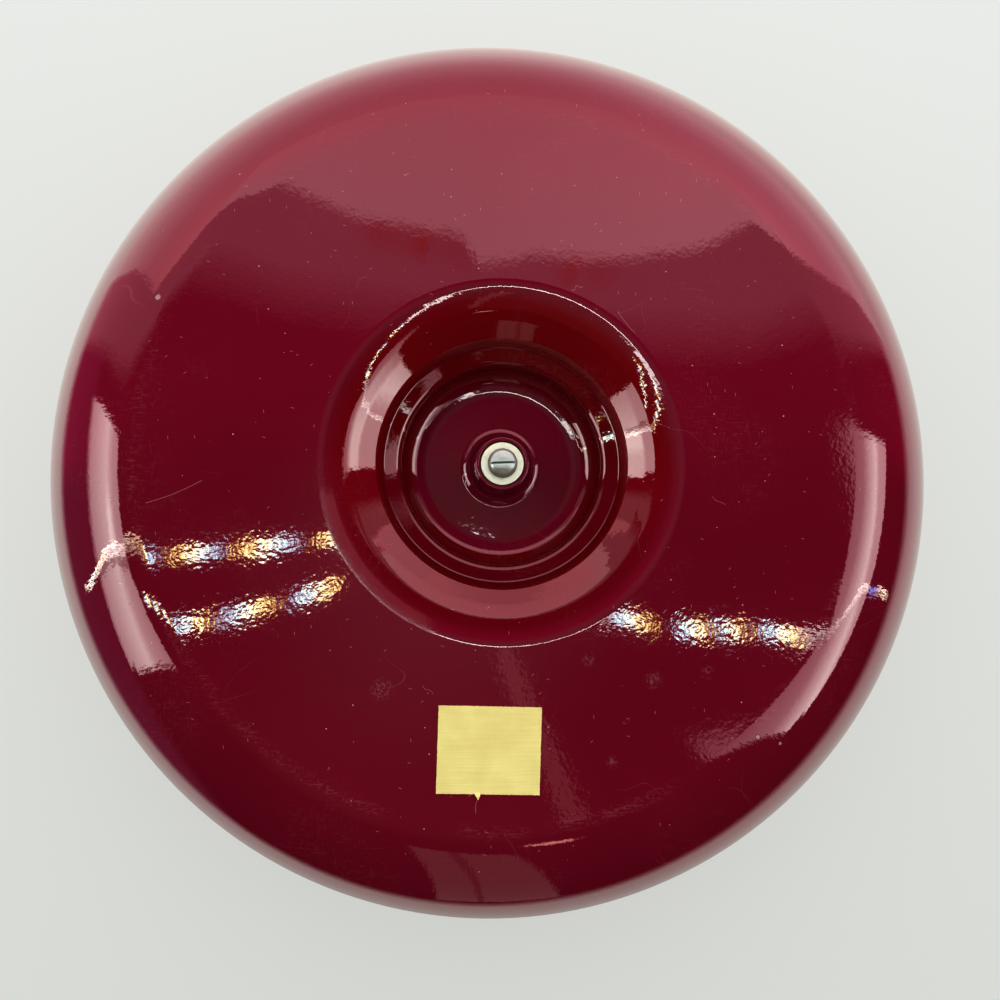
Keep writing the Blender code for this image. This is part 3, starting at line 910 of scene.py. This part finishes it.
def card():
    """The near end of the wall: a glowing sheet, seen only in the polish of the underside."""
    at, depth = np.array((-21.157, 34.096, -299.487)), -250.0
    wall_u = (-31, -24, -10.7, -8.1, -6.1, 0.9, 1.6, 6.5, 12.6, 17.3, 25.7, 32)
    wall_v = (34.2, 33.9, 24.0, 23.5, 22.9, 22.9, 21.4, 21.9, 21.0, 20.8, 24.4, 26.5)
    dim_u, dim_v = (-40, -26, -11, 5, 21, 44), (18.5, 21.5, 18.5, 18.5, 15.5, 21.5)
    # where the polish of the flat and of the shoulder looks, from the camera
    tilt = np.concatenate([np.full(230, UNDER_SLOPE), np.radians(np.arange(2.5, 42.0, 0.08))])
    bend_r = BOWL_R - 33.5
    out_r = bend_r + 33.5 * np.sin(tilt)
    height = under(out_r[0]) + 33.5 * (math.cos(UNDER_SLOPE) - np.cos(tilt))
    out_r[:230] = np.linspace(45.0, out_r[0], 230)
    height[:230] = under(out_r[:230])
    way = np.radians(np.arange(180.0, 360.0, 0.25))[None, :]
    spot_at = np.stack(np.broadcast_arrays(out_r[:, None] * np.cos(way), out_r[:, None] * np.sin(way), height[:, None]), -1)
    n = np.stack(np.broadcast_arrays(np.sin(tilt)[:, None] * np.cos(way), np.sin(tilt)[:, None] * np.sin(way), -np.cos(tilt)[:, None]), -1)
    look = spot_at - at
    look /= np.linalg.norm(look, axis=-1, keepdims=True)
    back_d = look - 2 * (look * n).sum(-1, keepdims=True) * n
    swing = np.degrees(np.arccos(np.clip(-back_d[..., 2], -1, 1))) / np.maximum(np.hypot(back_d[..., 0], back_d[..., 1]), 1e-6)
    to_u, to_v = swing * back_d[..., 0], -swing * back_d[..., 1]

    def reach(a, b):
        """Where the sheet must be for the underside to show it at (a, b) degrees."""
        k = np.unravel_index(np.argmin((to_u - a) ** 2 + (to_v - b) ** 2), to_u.shape)
        return [float(c) * MM for c in spot_at[k] + back_d[k] * ((depth - spot_at[k][2]) / back_d[k][2])]

    verts, tones, faces = [], [], []
    columns = [-28.0 + 1.0 * i for i in range(57)]
    shade = (1.7, 0.76, 0.98)
    for a in columns:
        low_v, high_v = float(np.interp(a, dim_u, dim_v)), float(np.interp(a, wall_u, wall_v))
        lit = float(np.interp(a, (3, 16), (1.0, 1.13)))
        ruddy = max(0.0, 1 - abs(a + 2.6) / 4.2, 0.8 - abs(a - 9.8) / 3.4) ** 0.6 * (0.62 + 0.38 * math.sin(2.3 * a))
        edge_tone = tuple(c + (w - c) * ruddy for c, w in zip(shade, (1.75, 0.36, 0.20)))
        rows = (
            (low_v - 2.6, (0.62, 0.0, 0.10)), (low_v + 1.4, shade), (high_v - 1.9, shade), (high_v - 0.9 - 0.4 * math.sin(1.7 * a), edge_tone),
            (high_v - 0.3, edge_tone), (high_v + 0.4, tuple(c * lit for c in (3.7, 2.12, 2.36))),
            (high_v + 9.0, tuple(c * lit for c in (4.25, 1.88, 2.14))), (48.0, (4.1, 1.70, 1.95)),
        )
        for b, tone in rows:
            verts.append(reach(a, b))
            tones += [*tone, 1.0]
    for i in range(len(columns) - 1):
        for j in range(7):
            k = 8 * i + j
            faces.append([k, k + 8, k + 9, k + 1])
    me = bpy.data.meshes.new("card")
    me.from_pydata(verts, [], faces)
    me.color_attributes.new("tone", "FLOAT_COLOR", "POINT").data.foreach_set("color", tones)
    me.update()
    m, g = material("card_glow")
    e = g.new("ShaderNodeEmission")
    g.put(e.inputs["Color"], g.new("ShaderNodeAttribute", attribute_name="tone").outputs["Color"])
    surface(g, e.outputs[0])
    m.cycles.emission_sampling = "NONE"
    ob = link(bpy.data.objects.new("card", me))
    ob.visible_camera = ob.visible_diffuse = ob.visible_transmission = ob.visible_shadow = False
    dress(ob, m)


card()


def softbox(name, where, size, power):
    light = bpy.data.lights.new(name, "AREA")
    light.shape, light.size, light.energy = "SQUARE", size, power
    ob = link(bpy.data.objects.new(name, light))
    ob.location = where
    ob.rotation_mode = "QUATERNION"
    ob.rotation_quaternion = (Vector((0, 0, 0.04)) - Vector(where)).to_track_quat("-Z", "Y")
    ob.visible_glossy = False
    return ob


softbox("key", (-0.55, -0.45, 0.85), 0.55, 7.0)
softbox("fill", (0.75, 0.35, 0.75), 0.5, 2.5)

# ---------------------------------------------------------------- camera and colour
cam = bpy.data.cameras.new("camera")
cam.lens, cam.sensor_width, cam.sensor_fit = 39.6, 36.0, "HORIZONTAL"
cam.clip_start, cam.clip_end = 0.01, 30.0
eye = link(bpy.data.objects.new("camera", cam))
right_v = Vector((0.99777559, 0.0, -0.06666238))
up_v = Vector((-0.0051518, -0.99700928, -0.07711005))
back_v = Vector((-0.06646301, 0.07728196, -0.99479152))
turn = Matrix((right_v, up_v, back_v)).transposed().to_4x4()
eye.matrix_world = Matrix.Translation((-0.021157, 0.034096, -0.299487)) @ turn
scene.camera = eye

scene.view_settings.view_transform = "Standard"
scene.view_settings.look = "None"
scene.view_settings.exposure = 0.0
scene.view_settings.gamma = 0.75
scene.cycles.max_bounces = 8
scene.cycles.diffuse_bounces = 4
scene.cycles.glossy_bounces = 4
scene.cycles.sample_clamp_indirect = 12.0
